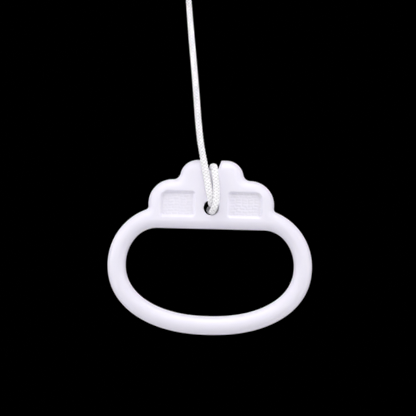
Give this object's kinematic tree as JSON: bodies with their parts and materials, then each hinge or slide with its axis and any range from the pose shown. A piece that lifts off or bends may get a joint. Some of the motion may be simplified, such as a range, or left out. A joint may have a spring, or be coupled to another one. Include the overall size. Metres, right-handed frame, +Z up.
{
  "type": "ceiling pull cord switch",
  "caption": "Round ceiling switch worked by a braided pull cord that ends in an oval finger-ring handle with a cloud-shaped, notched top.",
  "frame": {"origin": "centre of the base plate's ceiling face", "axes": "+Z up into the ceiling, -Y towards the user, +X to the user's right"},
  "size_m": [0.0965, 0.084, 0.1919],
  "materials": {
    "moulded_white": "moulded white, satin gloss",
    "handle_white": "polished white moulding",
    "inner_plastic": "natural heat-resistant moulding",
    "rubber": "matte black",
    "steel": "zinc plated",
    "brass": "drawn brass",
    "silver_contact": "bright silver contact",
    "cord": "white round braid"
  },
  "bodies": {
    "base": {"base_plate": "moulded_white", "cable_grommet": "rubber", "cover": "moulded_white", "cover_screw_right": "steel", "cover_screw_left": "steel", "cord_outlet": "moulded_white", "mechanism_housing": "inner_plastic", "housing_screw_right": "steel", "housing_screw_left": "steel", "return_spring": "steel", "rocker_pin": "steel", "closed_rivet": "silver_contact", "open_rivet": "silver_contact", "open_terminal": "brass", "open_terminal_screw": "steel", "common_terminal": "brass", "common_terminal_screw": "steel", "closed_terminal": "brass", "closed_terminal_screw": "steel", "earth_terminal": "brass", "earth_screw": "steel"},
    "plunger": {"plunger": "inner_plastic"},
    "rocker": {"rocker": "inner_plastic", "moving_contact": "brass", "moving_rivet": "silver_contact"},
    "cord_top": {"cord_top_knot": "cord", "knot_washer": "steel", "cord_stub": "cord"},
    "cord": {"pull_cord": "cord"},
    "handle": {"pull_handle": "handle_white", "cord_wrap": "cord", "cord_end_knot": "cord"}
  },
  "joints": [
    {"name": "cord_pull", "type": "slide", "parent": "base", "child": "plunger", "axis": [0, 0, -1], "range_m": [0, 0.008], "stiffness_N_per_m": 600, "springref_m": -0.012, "deforming": ["return_spring"]},
    {"name": "rocker_turn", "type": "hinge", "parent": "base", "child": "rocker", "pos_m": [0, 0.0137, -0.0125], "axis": [1, 0, 0], "range_deg": [0, 33.3]},
    {"name": "cord_twist", "type": "hinge", "parent": "plunger", "child": "cord_top", "pos_m": [0, 0, -0.01], "axis": [0, 0, 1], "range_deg": [-180, 180]},
    {"name": "cord_swing", "type": "hinge", "parent": "cord_top", "child": "cord", "pos_m": [0, 0, -0.042], "axis": [0, 1, 0], "range_deg": [-35, 35]},
    {"name": "handle_tilt", "type": "hinge", "parent": "cord", "child": "handle", "pos_m": [0.0062, -0.0019, -0.112], "axis": [1, 0, 0], "range_deg": [-45, 45]}
  ],
  "couplings": [
    {"joint": "rocker_turn", "follows": "cord_pull", "rad_per_m": 72.45}
  ]
}
